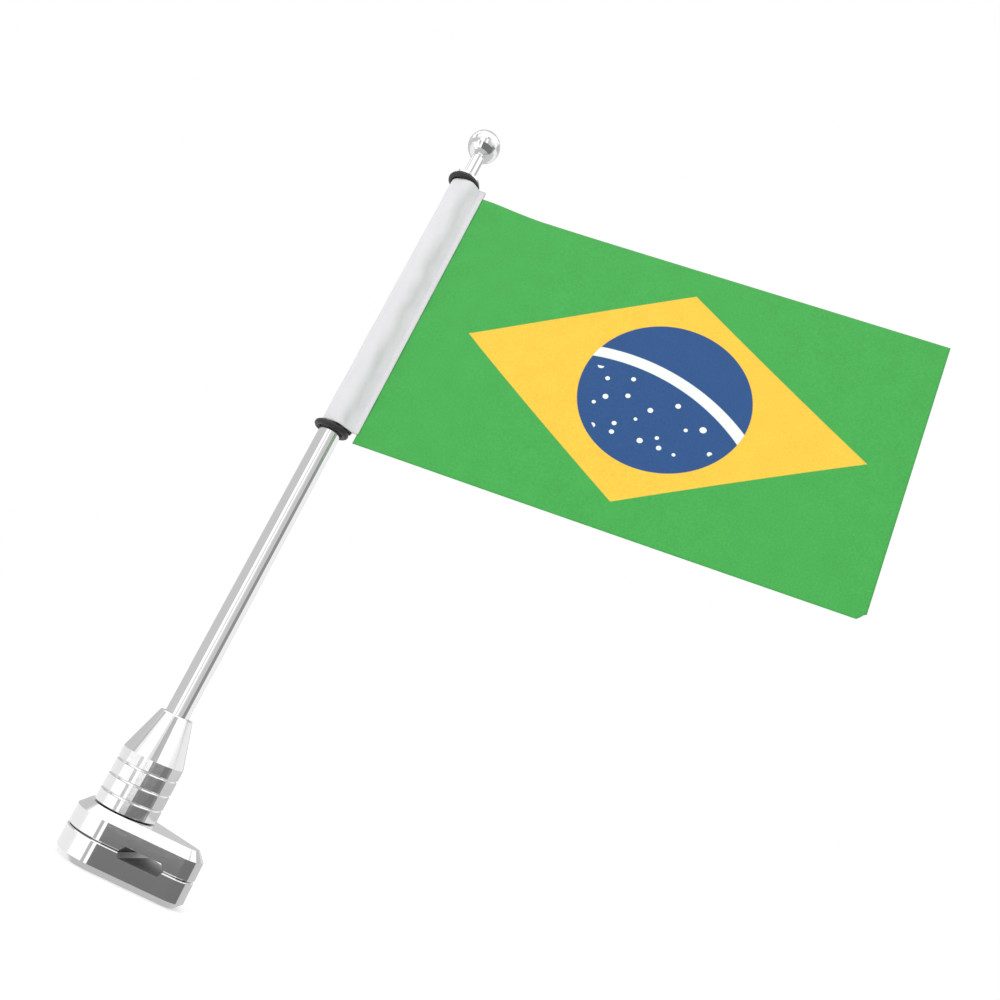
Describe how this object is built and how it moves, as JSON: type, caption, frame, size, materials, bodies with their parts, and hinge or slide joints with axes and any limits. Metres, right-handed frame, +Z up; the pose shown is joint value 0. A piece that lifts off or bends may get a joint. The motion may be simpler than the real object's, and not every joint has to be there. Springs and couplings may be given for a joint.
{
  "type": "clamp-on rack flagpole with flag",
  "caption": "Small printed flag on a plated pole with a ball finial, screwed into a turned socket on a two-piece billet clamp for a luggage rack bar.",
  "frame": {"origin": "Centre of the seat for the rack bar, on the floor of the slot in the lower clamp half", "axes": "+Z up along the pole; +X from the pole towards the nose of the clamp, the way the flag flies; +Y along the rack bar"},
  "size_m": [0.2483, 0.0346, 0.3719],
  "materials": {
    "satin_aluminium": "turned and milled, bright satin",
    "screw_steel": "zinc-plated fasteners and plugs",
    "chrome_plate": "mirror plated",
    "black_rubber": "smooth moulded",
    "white_satin": "white satin pocket",
    "printed_polyester": "printed polyester, green field with a yellow rhombus and a blue disc"
  },
  "bodies": {
    "base": {"upper_clamp_half": "satin_aluminium", "pole_socket": "satin_aluminium", "pole_tube": "chrome_plate", "lower_pole_plug": "screw_steel", "upper_pole_plug": "screw_steel"},
    "lower_jaw": {"lower_clamp_half": "satin_aluminium"},
    "pole_screw_body": {"pole_screw": "screw_steel"},
    "nose_screw_body": {"nose_screw": "screw_steel"},
    "finial_stud_body": {"finial_stud": "screw_steel"},
    "finial": {"ball_finial": "chrome_plate"},
    "lower_ring": {"lower_o_ring": "black_rubber"},
    "upper_ring": {"upper_o_ring": "black_rubber"},
    "flag": {"flag_sleeve": "white_satin", "flag_cloth": "printed_polyester"}
  },
  "joints": [
    {"name": "jaw_open", "type": "slide", "parent": "base", "child": "lower_jaw", "axis": [0, 0, 1], "range_m": [-0.006, 0]},
    {"name": "pole_screw_turn", "type": "hinge", "parent": "lower_jaw", "child": "pole_screw_body", "pos_m": [-0.0205, 0, 0], "axis": [0, 0, 1], "range_deg": [-2161, 0]},
    {"name": "nose_screw_turn", "type": "hinge", "parent": "lower_jaw", "child": "nose_screw_body", "pos_m": [0.0114, 0, 0], "axis": [0, 0, 1], "range_deg": [-3087, 0]},
    {"name": "finial_lift", "type": "slide", "parent": "base", "child": "finial_stud_body", "axis": [0, 0, 1], "range_m": [0, 0.007]},
    {"name": "finial_turn", "type": "hinge", "parent": "finial_stud_body", "child": "finial", "pos_m": [-0.0205, 0, 0], "axis": [0, 0, 1], "range_deg": [0, 3601]},
    {"name": "ring_slide", "type": "slide", "parent": "base", "child": "lower_ring", "axis": [0, 0, 1], "range_m": [-0.13, 0]},
    {"name": "flag_swivel", "type": "hinge", "parent": "lower_ring", "child": "flag", "pos_m": [-0.0205, 0, 0], "axis": [0, 0, 1], "continuous": true},
    {"name": "upper_ring_slide", "type": "slide", "parent": "base", "child": "upper_ring", "axis": [0, 0, 1], "range_m": [-0.13, 0]}
  ],
  "couplings": [
    {"joint": "pole_screw_turn", "follows": "jaw_open", "rad_per_m": 6283.2},
    {"joint": "nose_screw_turn", "follows": "jaw_open", "rad_per_m": 8976},
    {"joint": "finial_turn", "follows": "finial_lift", "rad_per_m": 8976},
    {"joint": "upper_ring_slide", "follows": "ring_slide", "ratio": 1}
  ]
}
